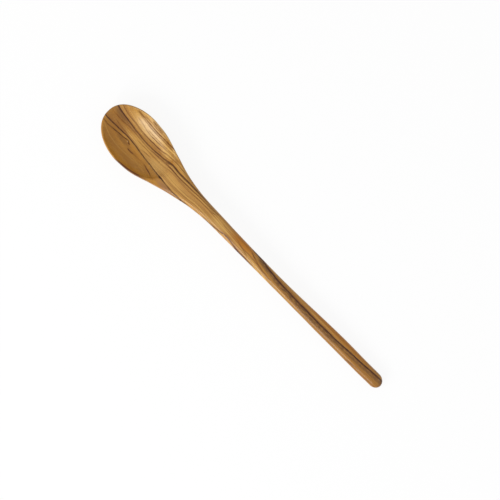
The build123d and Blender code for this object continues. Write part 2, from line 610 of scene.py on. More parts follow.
    def belly(self, left: Array, right: Array) -> Array:
        """Make the underside between the two outlines.

        Args:
            left: Distances along the outline of +Y, from the tip to the handle's end.
            right: The same along the other outline.

        Returns:
            A grid of points, one row for each pair of distances.
        """
        turns = np.linspace(0, math.pi, self.under_columns + 1)
        across = np.cos(turns)[None, :]
        distance = left[:, None] + (right - left)[:, None] * (1 - across) / 2
        half = self.form.half_width(distance)
        height = self.form.under_height(distance, np.broadcast_to(across, distance.shape))
        return np.stack([distance, across * half, height], axis=-1)

    @staticmethod
    def pushed_out(points: Array, inner: int) -> Array:
        """Flatten lines of points, keeping their length on the surface.

        Args:
            points: A grid of points, each row a line across the surface.
            inner: The number of the column from which lengths are measured.

        Returns:
            Flat places, as distance and offset.
        """
        plan = points[..., :2]
        flat = plan.copy()
        for direction, stop in ((1, points.shape[1]), (-1, -1)):
            for column in range(inner + direction, stop, direction):
                step = points[:, column] - points[:, column - direction]
                plan_step = step[:, :2]
                plan_length = np.linalg.norm(plan_step, axis=1, keepdims=True)
                length = np.linalg.norm(step, axis=1, keepdims=True)
                unit = plan_step / np.maximum(plan_length, TINY)
                flat[:, column] = flat[:, column - direction] + unit * length
        return flat

    def patches(self) -> list[Patch]:
        """Make every patch of the skin with its flat map.

        Returns:
            The patches.
        """
        rings = self.hollow_rings(*self.ring_steps())
        mouths = (rings[0][: self.half_ring + 1], rings[0][self.half_ring :][::-1])
        corner = int(np.argmax(mouths[0][:, 0] + mouths[0][:, 1]))
        feet = [self.outline_foot(mouth[: corner + 1]) for mouth in mouths]
        sides = zip(mouths, feet, (1, -1))
        lands = [self.land(mouth[: corner + 1], foot, side) for mouth, foot, side in sides]
        nose = np.concatenate([mouths[0][corner:], mouths[1][corner:-1][::-1]])
        first = np.concatenate([lands[0][-1][:-1], nose, lands[1][-1][:-1][::-1]])
        top = self.shoulder_and_handle(first)
        outlines = (np.concatenate([foot, top[1:, column, 0]]) for foot, column in zip(feet, (0, -1)))
        return self.mapped(rings, lands, top, self.belly(*outlines))

    def mapped(self, rings: Array, lands: list[Array], top: Array, under: Array) -> list[Patch]:
        """Lay the patches out side by side on the flat map.

        Args:
            rings: Rings of the hollow.
            lands: Land on the side of +Y and on the other side.
            top: Shoulder and top of the handle.
            under: The whole underside.

        Returns:
            Patches with their places on the map, in millimetres.
        """
        form = self.form
        gap = self.map_gap
        upper = form.bowl_width / 2 + 2 * gap + form.rim_edge
        travel = np.cumsum(np.linalg.norm(np.diff(rings[::-1], axis=0), axis=2), axis=0)
        shares = np.concatenate([np.zeros((1, travel.shape[1])), travel / travel[-1]])[::-1]
        middle = rings[-1, 0, :2]
        hollow = middle + (rings[0][None, :, :2] - middle) * shares[..., None]
        first_cut, second_cut = (self.row_at(top, cut) for cut in self.handle_cuts)
        offset = np.array([gap, upper])
        patches = [Patch(rings, hollow + offset)]
        inner = (self.land_columns, self.land_columns, top.shape[1] // 2)
        for grid, column in zip((*lands, top[: first_cut + 1]), inner):
            patches.append(Patch(grid, self.pushed_out(grid, column) + offset))
        rows = under.shape[0] - top.shape[0]
        bowl_under = under[: rows + first_cut + 1]
        flat = self.unrolled(bowl_under)
        under_half = np.abs(flat[..., 1]).max()
        lower = 2 * upper + under_half
        patches.append(Patch(bowl_under, flat + np.array([gap, lower])))
        shelf = lower + under_half + gap
        depth = 0.0
        side = flat[..., 0].max() + 2 * gap
        for start, stop in ((first_cut, second_cut), (second_cut, top.shape[0] - 1)):
            for grid in (top[start : stop + 1], under[rows + start : rows + stop + 1]):
                flat = self.unrolled(grid)
                half = np.abs(flat[..., 1]).max() + gap / 2
                if start == first_cut:
                    flat = flat + np.array([gap, shelf + depth + half])
                    depth += 2 * half
                else:
                    flat = flat[..., ::-1] + np.array([side + half, gap])
                    side += 2 * half
                patches.append(Patch(grid, flat))
        return patches

    @staticmethod
    def row_at(grid: Array, distance: float) -> int:
        """Find the row of the handle nearest to a distance from the tip."""
        return int(np.argmin(np.abs(grid[:, 0, 0] - distance)))

    @staticmethod
    def unrolled(grid: Array) -> Array:
        """Unroll rows of points, each from its middle outwards, along the middle column's length.

        Args:
            grid: The rows of points.

        Returns:
            Flat places, as distance and offset.
        """
        centre = grid.shape[1] // 2
        along = np.linalg.norm(np.diff(grid[:, centre], axis=0), axis=1)
        along = np.concatenate([[0], np.cumsum(along)])
        across = np.linalg.norm(np.diff(grid, axis=1), axis=2)
        across = np.concatenate([np.zeros((grid.shape[0], 1)), np.cumsum(across, axis=1)], axis=1)
        across = across[:, centre : centre + 1] - across
        return np.stack([np.broadcast_to(along[:, None], across.shape), across], axis=-1)

    def placed(self, points: Array) -> Array:
        """Carry points from the form's own terms to the frame, with the spoon's sway.

        Args:
            points: Points of distance, offset and height, in millimetres.

        Returns:
            The points in the frame, in metres.
        """
        moved = points.copy()
        moved[..., 1] += self.form.sway.at(points[..., 0])
        moved[..., 0] -= self.form.length / 2
        return moved * MM

    def build(self) -> bpy.types.Object:
        """Join the patches into one closed mesh with its flat map.

        Returns:
            The spoon's object.
        """
        mesh_data = bmesh.new()
        layer = mesh_data.loops.layers.uv.new("OFBake")
        for patch in self.patches():
            self.add_patch(mesh_data, layer, patch)
        bmesh.ops.remove_doubles(mesh_data, verts=mesh_data.verts, dist=self.weld * MM)
        bmesh.ops.recalc_face_normals(mesh_data, faces=mesh_data.faces)
        self.ease_surface(mesh_data)
        self.surface = Surface(BVHTree.FromBMesh(mesh_data), self.form)
        piece = linked_mesh("carved_spoon", mesh_data)
        piece.data.shade_smooth()
        return piece

    def add_patch(self, mesh_data: bmesh.types.BMesh, layer: bmesh.types.BMLayerItem, patch: Patch) -> None:
        """Add a patch's faces to the mesh.

        Args:
            mesh_data: The mesh under construction.
            layer: Its flat map.
            patch: The patch to add.
        """
        points = self.placed(patch.points)
        flat = patch.flat / self.map_side
        rows, columns = points.shape[:2]
        verts = [[mesh_data.verts.new(point) for point in line] for line in points]
        for row in range(rows - 1):
            for column in range(columns - 1):
                corners = ((row, column), (row, column + 1), (row + 1, column + 1), (row + 1, column))
                kept = []
                for place in corners:
                    gaps = (np.allclose(points[place], points[near], atol=self.same_place) for near in kept)
                    if not any(gaps):
                        kept.append(place)
                if len(kept) < 3:
                    continue
                face = mesh_data.faces.new([verts[r][c] for r, c in kept])
                for loop, place in zip(face.loops, kept):
                    loop[layer].uv = flat[place]

    def ease_surface(self, mesh_data: bmesh.types.BMesh) -> None:
        """Take up to a tenth of a millimetre off the skin, as sanding by hand does.

        Args:
            mesh_data: The mesh under construction.
        """
        mesh_data.normal_update()
        moves = []
        for vert in mesh_data.verts:
            place = [part / step for part, step in zip(vert.co / MM, self.sanding_steps)]
            moves.append(vert.normal * (noise.noise(Vector(place)) - self.sanded) * self.relief * MM)
        for vert, move in zip(mesh_data.verts, moves):
            vert.co += move


class Tone(Enum):
    """Colours of the wood, as red, green and blue from 0 to 255."""

    GOLD = (200, 154, 80)
    TEAK = (180, 125, 46)
    BROWN = (144, 95, 34)
    DARK = (54, 20, 4)
    UMBER = (92, 48, 16)
    PURPLE = (84, 42, 26)
    GREY = (102, 70, 38)
    PINK = (186, 138, 84)
    STRAW = (210, 168, 96)
    CREAM = (222, 190, 146)
    ORANGE = (170, 105, 24)
    BLUSH = (150, 106, 68)
    THREAD = (122, 74, 36)

    def linear(self) -> tuple[float, float, float, float]:
        """Give the colour as light, for a shader.

        Returns:
            Red, green, blue and alpha, from 0 to 1.
        """
        light = []
        for part in self.value:
            share = part / 255
            light.append(share / 12.92 if share < 0.04 else ((share + 0.055) / 1.055) ** 2.4)
        return (*light, 1.0)


@dataclass(frozen=True)
class GrainLine:
    """A line of the grain as it shows on top of the spoon.

    Its path is a row of distance from the tip, offset from the middle and strength. The core fades
    softly on the side of the lower layers.
    """

    name: str
    path: tuple[Triple, ...]
    core: float
    fade: float = 0.9
    tone: Tone = Tone.UMBER
    fade_tone: Tone = Tone.BROWN
    frayed: float = 0.35


@dataclass(frozen=True)
class SoftSpot:
    """A patch of another tone, with soft edges, as it shows on top of the spoon. Most are the wood's own
    colour, a few are painted light and painted shade.
    """

    name: str
    centre: Pair
    reach: Pair
    tone: Tone
    strength: float
    softness: float = 0.75


GRAIN_LINES = (
    GrainLine("zone_under_heart_line", (
        (160, 3.4, 0), (168, 2.5, 1), (180, 1, 1), (190, 0.1, 1), (204, -0.6, 1), (218, -0.9, 1),
        (233, -1, 1), (248, -0.7, 0.9), (264, 0.1, 0.85), (279, 0.8, 0.85), (292, 1.6, 0.8),
        (300, 1.8, 0.7),
    ), 1.8, 3.4, Tone.GREY, Tone.BROWN, 0.5),
    GrainLine("heart_line", (
        (0, 10.4, 0.85), (2.3, 9.7, 0.9), (9.3, 8.1, 0.95), (19.4, 6.7, 0.8), (27, 5.6, 0.75),
        (34.8, 4.7, 0.7), (42.6, 4.5, 0.7), (50.3, 4.8, 0.75), (55, 5.2, 0.7), (58.5, 5.75, 0.7),
        (61, 6.2, 0.75), (63, 6.5, 0.85), (65.5, 6.65, 0.9), (69.7, 6.4, 0.95), (73.5, 6, 0.85),
        (81.3, 5.9, 0.85), (93, 6, 0.75), (101, 5.9, 0.5), (108.4, 5.7, 0.15), (127.7, 4.8, 0),
        (150, 4.4, 0), (157, 4.3, 0.6), (161, 4.2, 0.9), (165, 4.1, 1), (168, 3.9, 1), (172, 3, 1),
        (178, 2.25, 1), (185.8, 1.55, 1), (201.3, 1, 1), (216.8, 0.55, 1), (232.3, 0.4, 1),
        (247.7, 0.7, 1), (263.2, 1.6, 1), (278.7, 2.3, 1), (286.5, 2.9, 0.95), (293, 3.3, 0.85),
        (300, 3.4, 0.8),
    ), 0.55, 1.6, Tone.DARK, Tone.UMBER, 0.2),
    GrainLine("lower_streak", (
        (0, -2.2, 0.9), (7.7, -2.5, 0.9), (19.4, -2.2, 0.9), (27, -2.4, 0.9), (34.8, -3.1, 0.85),
        (42.6, -4.3, 0.8), (50.3, -5.3, 0.75), (58, -6.2, 0.75), (65, -6.8, 1), (69.7, -7.3, 0.8),
        (73.5, -7.7, 0.7), (81.3, -8.2, 0.7), (89, -8.1, 0.75), (96, -7.6, 0.6), (112, -6.6, 0.4),
        (122, -6.2, 0),
    ), 0.5, 1.2, Tone.DARK, Tone.UMBER),
    GrainLine("knot_streak", (
        (1.5, -5.4, 0.5), (7, -6.1, 0.55), (11.6, -5.7, 0.7), (15.3, -5.2, 0.85), (22, -4.9, 0.85),
        (26.2, -4.2, 0.9), (28, -4.7, 0.8), (29.3, -5.2, 0.6), (31, -5.8, 0),
    ), 0.5, 1.8, Tone.DARK, Tone.BROWN),
    GrainLine("upper_wall_line", (
        (15, 18.4, 0), (17, 18, 0.5), (21.5, 17.6, 0.7), (30, 16.8, 0.8), (39, 16.4, 0.9),
        (46.7, 16.2, 0.9), (56.6, 16.2, 0.9), (60, 15.9, 0.5), (66, 14.5, 0.3), (72, 13.5, 0),
    ), 0.42, 1),
    GrainLine("upper_rim_line", (
        (29, 20.3, 0), (33, 20.1, 0.6), (40, 19.8, 0.6), (45, 19.6, 0.3), (49, 19.2, 0.4), (53, 18.6, 0),
    ), 0.4, 0.8, Tone.PURPLE),
    GrainLine("second_wall_line", (
        (18, 16.8, 0), (20.7, 16.5, 0.4), (28, 15.6, 0.5), (35.6, 15.1, 0.6), (46.5, 14.9, 0.6),
        (56.5, 14.6, 0.6), (63, 14.2, 0),
    ), 0.36, 0.8),
    GrainLine("third_wall_line", (
        (19, 14.2, 0), (22.4, 13.7, 0.4), (28, 12.4, 0.4), (34, 11.3, 0.5), (39, 10.9, 0.7),
        (44, 10.9, 0.8), (50, 11.4, 0.5), (67, 11.8, 0.4), (74, 11.5, 0),
    ), 0.38, 0.8),
    GrainLine("upper_floor_line", (
        (4, 12.9, 0.4), (13.5, 10.4, 0.5), (20.7, 9.8, 0.5), (28, 8.7, 0.6), (35, 8.3, 0.8),
        (40, 8.2, 0.95), (47, 8.2, 0.9), (51, 8.4, 0.8), (56.5, 9.6, 0.6), (65.5, 10, 0.6),
        (74, 9.3, 0.6), (82, 8.4, 0),
    ), 0.44, 1.2),
    GrainLine("rim_thread", (
        (19, 18.9, 0), (24, 18.6, 0.5), (33, 18.3, 0.6), (42, 18, 0.6), (50, 17.4, 0.5), (56, 16.9, 0),
    ), 0.32, 0.8, Tone.THREAD),
    GrainLine("wall_thread", (
        (30, 12.8, 0), (36, 12.5, 0.6), (46, 12.4, 0.6), (54, 12.7, 0.6), (62, 12.6, 0.5), (68, 12.2, 0),
    ), 0.32, 0.7, Tone.THREAD),
    GrainLine("floor_thread", (
        (6, 8.4, 0), (14, 6.2, 0.5), (24, 4.6, 0.5), (34, 6.4, 0.4), (46, 6.6, 0.5), (56, 7.4, 0.5),
        (64, 7.9, 0),
    ), 0.32, 0.7, Tone.THREAD),
    GrainLine("companion_line", (
        (5, 4.3, 0), (7, 4.1, 0.6), (13.5, 3.6, 0.6), (20, 4.2, 0.5), (30, 3.5, 0.4), (38.4, 2.9, 0.5),
        (44.4, 2.7, 0.5), (47, 3.1, 0.5), (52, 3.4, 0.7), (62, 4.1, 0.5), (65.5, 3.9, 0.9),
        (71, 3.9, 0.9), (75.5, 3.6, 0.8), (82, 3.6, 0.7), (94.5, 4, 0.7), (108, 4.2, 0.6),
        (115, 4.4, 0.6), (121, 4.9, 0),
    ), 0.42, 0.9),
    GrainLine("tip_line", ((8, 0.8, 0), (11.3, 0.4, 0.5), (19, -0.4, 0.5), (25, -0.9, 0)), 0.45, 1.2),
    GrainLine("middle_line", (
        (30, 1.1, 0), (32, 1.1, 0.3), (45, 1.1, 0.4), (59.4, 1, 0.3), (67, 2.1, 0.2), (70, 2.5, 0.45),
        (76.6, 2, 0.45), (92, 2.2, 0.4), (109, 2.4, 0.5), (114, 2.6, 0.75), (118, 3.8, 0),
    ), 0.34, 0.8),
    GrainLine("short_dash", ((38, -1.9, 0), (40, -1.8, 0.5), (46.6, -1.2, 0.4), (50, -1.1, 0)), 0.3),
    GrainLine("lower_wall_line", (
        (30, -8.3, 0), (32, -9, 1), (35, -9.1, 1), (37, -8.9, 0.3), (44, -8.4, 0.15), (49, -8.4, 0.3),
        (52, -9.4, 1), (56, -10.3, 1), (58.5, -11.2, 0.4), (62, -12, 0.2), (64, -12.6, 0),
    ), 0.5, 1.3),
    GrainLine("pale_wall_line", (
        (2, -6.2, 0), (4.1, -7, 0.4), (8, -9, 0.5), (15.2, -11.5, 0.5), (24.5, -12.9, 0.5),
        (33, -12.9, 0.4), (46.7, -11.2, 0.4), (54, -10.4, 0),
    ), 0.4, 0.8, Tone.GOLD, Tone.TEAK),
    GrainLine("lower_rim_stripe", (
        (8, -25.8, 0), (22, -24.2, 0.3), (29, -22.8, 0.5), (33, -21.8, 0.75), (38.4, -20.4, 0.95),
        (44, -19.6, 1), (50, -18.3, 0.9), (54, -17.4, 0.55), (60, -15.9, 0.3), (68, -13.8, 0.15),
        (78, -11.2, 0),
    ), 1.05, 1.6, Tone.PURPLE, Tone.BROWN, 0.12),
    GrainLine("purple_line", (
        (102, -6.6, 0), (114, -5.2, 0.5), (116, -4.95, 0.6), (121, -4.4, 0.6), (125, -3.9, 0.65),
        (128.3, -3.5, 0.7), (132.2, -2.8, 0.85), (136, -2.9, 0.8), (140.4, -3.3, 0.75),
        (144.3, -4.1, 0.8), (149.3, -4.65, 0.95), (154, -4.9, 0.8), (163, -5.3, 0.4), (178, -5.9, 0),
    ), 0.4, 0.5, Tone.PURPLE, Tone.PURPLE),
    GrainLine("faint_line", (
        (124, 2, 0), (128, 1.9, 0.35), (140, 1.5, 0.35), (147, -0.1, 0.5), (154, -1.8, 0.4),
        (159, -2.8, 0),
    ), 0.4, 1.2),
    GrainLine("waist_line", (
        (153, 3, 0), (157, 2.2, 0.7), (160.3, 1.1, 0.85), (164, 0, 0.65), (168.8, -1.2, 0.55),
        (174.2, -1.9, 0.5), (179.6, -2.7, 0.4), (187, -3.4, 0),
    ), 0.45, 2),
    GrainLine("end_line", (
        (262, -4.5, 0), (268, -4.25, 0.6), (272, -3.9, 0.7), (277.6, -3.2, 0.5), (283, -2.65, 0.4),
        (300, -2.2, 0.3),
    ), 0.35, 0.6),
)

# The wood's own tones, with some painted light and painted shade, each marked below.
SOFT_SPOTS = (
    # Browner wood at the tip, with painted shade where the tip wall faces away from the lamps.
    SoftSpot("tip_brown_and_painted_shade", (9, 0.5), (18, 12), Tone.BROWN, 0.75),
    # Paler wood on the wall of +Y, with painted light where that wall faces the lamps and catches their
    # gleam.
    SoftSpot("upper_wall_pale_and_painted_light", (36, 15), (28, 9), Tone.STRAW, 0.95),
    SoftSpot("rim_pale", (42, 20), (24, 3.4), Tone.STRAW, 0.8),
    # Painted highlight: a creamy sheen on the wall of +Y.
    SoftSpot("painted_wall_highlight", (34, 14.5), (16, 7), Tone.CREAM, 0.5),
    # Painted shade on the wall of -Y near the tip, which lies in the rim's shadow.
    SoftSpot("left_wall_painted_shade", (14, -11), (16, 5), Tone.BROWN, 0.4),
    SoftSpot("floor_pale", (37, 1), (16, 5), Tone.GOLD, 0.6),
    SoftSpot("shoulder_pale", (73, 9.6), (12, 2.8), Tone.GOLD, 0.7),
    # Paler wood at the hollow's end, with painted light where it faces the key lamp.
    SoftSpot("end_pale_and_painted_light", (57, -1.5), (11, 6.5), Tone.STRAW, 0.45),
    SoftSpot("handle_orange", (240, 5.2), (62, 4), Tone.ORANGE, 0.75),
    SoftSpot("handle_edge", (250, -6.4), (74, 3.6), Tone.BROWN, 0.8),
    SoftSpot("tip_shade", (9.5, 6.4), (12, 2.8), Tone.GREY, 0.6),
    SoftSpot("knot_shade", (24, -6.8), (11, 2.6), Tone.GREY, 0.5),
    SoftSpot("wall_shade", (36, -8.6), (11, 1.4), Tone.BROWN, 0.45),
    SoftSpot("shoulder_blush", (73, -10), (13, 3.2), Tone.BLUSH, 0.8),
    # Yellow wood on the end wall of +Y, with painted light where it faces the lamps.
    SoftSpot("end_wall_yellow_and_painted_light", (57, 11.5), (10, 5.5), Tone.STRAW, 0.9),
    SoftSpot("neck_glow", (72, -1.5), (18, 4), Tone.GOLD, 0.5),
    SoftSpot("waist_glow", (124, 0), (14, 2.8), Tone.STRAW, 0.5),
    SoftSpot("waist_blush", (136, -4.2), (10, 1.4), Tone.PINK, 0.6),
    SoftSpot("waist_orange", (147, 2.7), (18, 4.4), Tone.ORANGE, 0.9),
    SoftSpot("waist_shade", (169, 1.2), (13, 2.2), Tone.BROWN, 0.45),
    SoftSpot("edge_smear", (160, 4.6), (8, 1.2), Tone.PURPLE, 0.5),
    SoftSpot("smudge", (61.5, 5.2), (3.2, 0.9), Tone.PURPLE, 0.6),
    SoftSpot("dark_knot", (65.4, -7), (2.8, 0.95), Tone.DARK, 1),
    SoftSpot("knot_shadow", (28.9, -5.4), (1.7, 0.8), Tone.UMBER, 0.9),
    SoftSpot("knot_heart", (27.1, -4.9), (1, 0.55), Tone.CREAM, 0.7),
    SoftSpot("end_shade", (274, -1.2), (28, 4.6), Tone.BROWN, 0.6),
    SoftSpot("end_brown", (297, 0), (16, 9), Tone.BROWN, 0.6),
    SoftSpot("end_edge", (301.5, 0), (4.5, 9), Tone.THREAD, 0.8),
    # Painted glint: a small whitish spot near the handle's end.
    SoftSpot("painted_end_glint", (296, 2.9), (1.9, 0.8), Tone.CREAM, 1),
)

MAIN_STREAKS = ("heart_line", "lower_streak")  # the growth layers follow these two
SOCKET_KINDS = {"Colour": "NodeSocketColor", "Position": "NodeSocketVector"}  # all others hold a number
# Counted layers and the rings they stand for, which lie closer towards the side of +Y.
RING_PLACES = ((-32, -22), (-14, -12), (-4, -4), (6, 6), (12, 15), (18, 28), (32, 60))


class Bench:
    """Lays nodes into a tree and joins them."""

    def __init__(self, tree: Tree) -> None:
        """Take the tree to work on."""
        self.tree = tree

    def fill(self, node: Node, inputs: dict[str | int, object]) -> Node:
        """Join the inputs of a node to sockets, or set their values.

        Args:
            node: The node.
            inputs: What its inputs hold: sockets, tones or plain values.

        Returns:
            The node.
        """
        for key, value in inputs.items():
            if isinstance(value, Socket):
                self.tree.links.new(value, node.inputs[key])
            else:
                node.inputs[key].default_value = value.linear() if isinstance(value, Tone) else value
        return node

    def node(self, kind: str, inputs: dict[str | int, object] | None = None, **settings: object) -> Node:
        """Add a node.

        Args:
            kind: The node's type, without the word Shader.
            inputs: What its inputs hold.
            settings: Its other settings.

        Returns:
            The node.
        """
        node = self.tree.nodes.new(f"ShaderNode{kind}")
        for key, value in settings.items():
            setattr(node, key, value)
        return self.fill(node, inputs or {})

    def math(self, operation: str, *values: object, clamp: bool = False) -> Socket:
        """Work a sum out.

        Args:
            operation: The Math node's operation.
            values: Its inputs in order.
            clamp: Whether to keep the result from 0 to 1.

        Returns:
            The result's socket.
        """
        return self.node("Math", dict(enumerate(values)), operation=operation, use_clamp=clamp).outputs[0]

    def times(self, first: object, second: object, clamp: bool = False) -> Socket:
        """Multiply two numbers."""
        return self.math("MULTIPLY", first, second, clamp=clamp)

    def slide(self, value: object, span: tuple[object, object], ends: Pair = WHOLE) -> Socket:
        """Move smoothly from one value to another while a third crosses a span.

        Args:
            value: The value that crosses the span.
            span: Where the span starts and ends.
            ends: The values before and after the span.

        Returns:
            The moving value's socket.
        """
        names = ("Value", "From Min", "From Max", "To Min", "To Max")
        inputs = dict(zip(names, (value, *span, *ends)))
        return self.node("MapRange", inputs, interpolation_type="SMOOTHSTEP").outputs["Result"]

    def blend(self, share: object, first: object, second: object, mode: str = "MIX") -> Socket:
        """Mix two colours.

        Args:
            share: The share of the second.
            first: The colour below.
            second: The colour above.
            mode: How they mix.

        Returns:
            The mixed colour's socket.
        """
        inputs = dict(zip(MIX_INPUTS, (share, first, second)))
        return self.node("Mix", inputs, data_type="RGBA", blend_type=mode).outputs[MIX_RESULT]

    def vector(self, x: object, y: object, z: object) -> Socket:
        """Join three numbers to a vector."""
        return self.node("CombineXYZ", {0: x, 1: y, 2: z}).outputs[0]

    def noise(self, place: tuple[object, ...], waver: Waver) -> Socket:
        """Give an even noise from 0 to 1.

        Args:
            place: The place along, across and down the wood, in millimetres.
            waver: The noise's steps and finer parts.

        Returns:
            The noise's socket.
        """
        parts = [self.math("DIVIDE", part, step) for part, step in zip(place, waver.steps)]
        inputs = {"Vector": self.vector(*parts), "Scale": 1.0}
        inputs |= {"Detail": waver.detail, "Roughness": waver.roughness}
        return self.node("TexNoise", inputs).outputs[0]

    def curve(self, value: object, points: list[Pair]) -> Socket:
        """Map a value from 0 to 1 along a curve.

        Args:
            value: The value to map.
            points: The curve's points.

        Returns:
            The mapped value's socket.
        """
        node = self.node("FloatCurve", {"Value": value})
        line = node.mapping.curves[0]
        for end, point in zip(line.points, (points[0], points[-1])):
            end.location = point
        for point in points[1:-1]:
            line.points.new(*point)
        for point in line.points:
            point.handle_type = "AUTO_CLAMPED"
        node.mapping.update()
        return node.outputs[0]

    def group(self, tree: Tree, inputs: dict[str, object]) -> bpy.types.NodeOutputs:
        """Place a node group with its values, and give its outputs."""
        return self.node("Group", inputs, node_tree=tree).outputs


class GroupBench(Bench):
    """Lays out one node group with named inputs and outputs."""

    def __init__(self, name: str, inputs: tuple[str, ...], outputs: tuple[str, ...]) -> None:
        """Make the group and its sockets, whose kinds follow from the last word of their names.

        Args:
            name: The group's name.
            inputs: The names of its inputs.
            outputs: The names of its outputs.
        """
        super().__init__(bpy.data.node_groups.new(name, "ShaderNodeTree"))
        for way, names in (("INPUT", inputs), ("OUTPUT", outputs)):
            for socket_name in names:
                kind = SOCKET_KINDS.get(socket_name.split()[-1], "NodeSocketFloat")
                self.tree.interface.new_socket(name=socket_name, in_out=way, socket_type=kind)
        group_in = self.tree.nodes.new("NodeGroupInput")
        self.group_out = self.tree.nodes.new("NodeGroupOutput")
        self.given = {socket_name: group_in.outputs[socket_name] for socket_name in inputs}

    def put_out(self, **values: Socket) -> Tree:
        """Join the group's outputs, by their names, and give its tree."""
        self.fill(self.group_out, values)
        return self.tree


@dataclass(frozen=True)
class Waver:
    """An even noise in the wood, with the length of its steps along, across and down."""

    steps: Triple
    detail: float
    roughness: float = 0.5


@dataclass(frozen=True)
class OiledTeak:
    """Oiled teak whose growth layers lean a little as they go down into the wood.

    Spans say between which values an effect comes in, and shares how strong it is.
    """

    surface: Surface
    lean: float = 0.3
    lean_from: float = 14.6
    layer_reach: float = 32.0
    streak_gap: float = 13.9
    streak_end: float = 0.33
    streak_tail: Pairs = ((0.6, -12.0), (1.0, -11.0))
    heart_ring: float = 7.0
    ring_room: float = 0.2
    length: float = 300.0
    path_step: float = 2.4
    wander: Waver = Waver((11.0, 5.0, 1.0), 2.0)
    wander_reach: float = 0.9
    fraying: Waver = Waver((3.5, 1.0, 1.0), 1.0)
    fraying_span: Pair = (0.3, 0.62)
    core_edge: float = 1.7
    core_solid: float = 0.25
    fade_share: float = 0.55
    plain_span: Pair = (-8.5, -6.5)
    plain_share: float = 0.85
    bands: Waver = Waver((110.0, 4.2, 70.0), 2.0, 0.55)
    band_span: Pair = (0.3, 0.7)
    hues: Waver = Waver((45.0, 7.0, 40.0), 1.0)
    hue_span: Pair = (0.45, 0.75)
    hue_share: float = 0.4
    rings: Waver = Waver((230.0, 1.15, 120.0), 2.0, 0.6)
    ring_width: float = 0.13
    ring_shares: Pair = (0.12, 0.78)
    fine: Waver = Waver((90.0, 0.6, 60.0), 1.0)
    fine_tones: tuple[tuple[Pair, Tone], ...] = (((0.5, 0.72), Tone.THREAD), ((0.5, 0.28), Tone.STRAW))
    fine_share: float = 0.5
    fine_shares: Pair = (0.15, 1.0)
    fine_span: Pair = (0.5, 0.8)
    dashes: Waver = Waver((5.0, 0.22, 0.22), 0.0)
    dash_span: Pair = (0.66, 0.8)
    pore_span: Pair = (0.0, 0.6)
    pore_shares: Pair = (0.45, 1.0)
    pore_depth: float = 0.35
    fibres: Waver = Waver((14.0, 0.35, 0.5), 2.0, 0.6)
    fibre_span: Pair = (0.3, 0.7)
    fibre_lift: Pair = (0.88, 1.11)
    roughness: float = 0.31
    fibre_roughness: float = 0.12
    line_roughness: float = 0.08
    bump: float = 0.17
    relief: float = 0.00006
    specular: float = 0.25

    def layer_of(self, offset: float, height: float) -> float:
        """Give the layer on which a point of the wood lies, in millimetres."""
        return offset + self.lean * (self.lean_from - height)

    def layer_share(self, layer: float) -> float:
        """Give a layer's place in the whole range of layers."""
        return (layer + self.layer_reach) / (2 * self.layer_reach)

    def unshared(self, bench: Bench, value: Socket) -> Socket:
        """Turn a share of the range of layers back into a layer."""
        return bench.math("MULTIPLY_ADD", value, 2 * self.layer_reach, -self.layer_reach)

    def place_group(self) -> Tree:
        """Make the group that says where in the wood a point lies.

        Returns:
            The group's tree.
        """
        bench = GroupBench("wood_place", ("Position",), ("Along", "Layer", "Height"))
        parts = bench.node("SeparateXYZ", {0: bench.given["Position"]}).outputs
        across, height = (bench.times(parts[index], 1 / MM) for index in (1, 2))
        along = bench.math("MULTIPLY_ADD", parts[0], 1 / MM, self.length / 2)
        depth = bench.math("SUBTRACT", self.lean_from, height)
        layer = bench.math("MULTIPLY_ADD", depth, self.lean, across)
        return bench.put_out(Along=along, Layer=layer, Height=height)

    def line_group(self) -> Tree:
        """Make the group that lays one line of the grain over a colour.

        Returns:
            The group's tree.
        """
        bench = GroupBench(
            "grain_line",
            ("Colour", "Lines", "Layer", "Place", "Strength", "Core", "Fade", "Core Colour", "Fade Colour"),
            ("Colour", "Lines"),
        )
        colour, lines, layer, place, strength, core, fade, core_colour, fade_colour = bench.given.values()
        below = bench.math("SUBTRACT", self.unshared(bench, place), layer)
        outer = bench.times(core, self.core_edge)
        inner = bench.times(core, self.core_solid)
        line = bench.slide(bench.math("ABSOLUTE", below), (inner, outer), FADING)
        line = bench.times(line, strength, clamp=True)
        start = bench.slide(below, (bench.times(outer, -1.0), 0.0))
        fade = bench.times(bench.slide(below, (0.0, fade), FADING), start)
        fade = bench.times(bench.times(fade, strength), self.fade_share, clamp=True)
        colour = bench.blend(fade, colour, fade_colour)
        colour = bench.blend(line, colour, core_colour)
        return bench.put_out(Colour=colour, Lines=bench.math("MAXIMUM", lines, line))

    def spot_group(self) -> Tree:
        """Make the group that lays one soft spot over a colour.

        Returns:
            The group's tree.
        """
        ways = ("Along", "Layer")
        places = [f"{part}{way}" for part in ("", "Centre ", "Reach ") for way in ways]
        inputs = ("Colour", *places, "Softness", "Strength", "Spot Colour")
        bench = GroupBench("soft_spot", inputs, ("Colour",))
        given = bench.given
        parts = []
        for way in ways:
            gap = bench.math("SUBTRACT", given[way], given[f"Centre {way}"])
            share = bench.math("DIVIDE", gap, given[f"Reach {way}"])
            parts.append(bench.times(share, share))
        distance = bench.math("SQRT", bench.math("ADD", *parts))
        start = bench.math("SUBTRACT", 1.0, given["Softness"])
        spot = bench.times(bench.slide(distance, (start, 1.0), FADING), given["Strength"], clamp=True)
        return bench.put_out(Colour=bench.blend(spot, given["Colour"], given["Spot Colour"]))

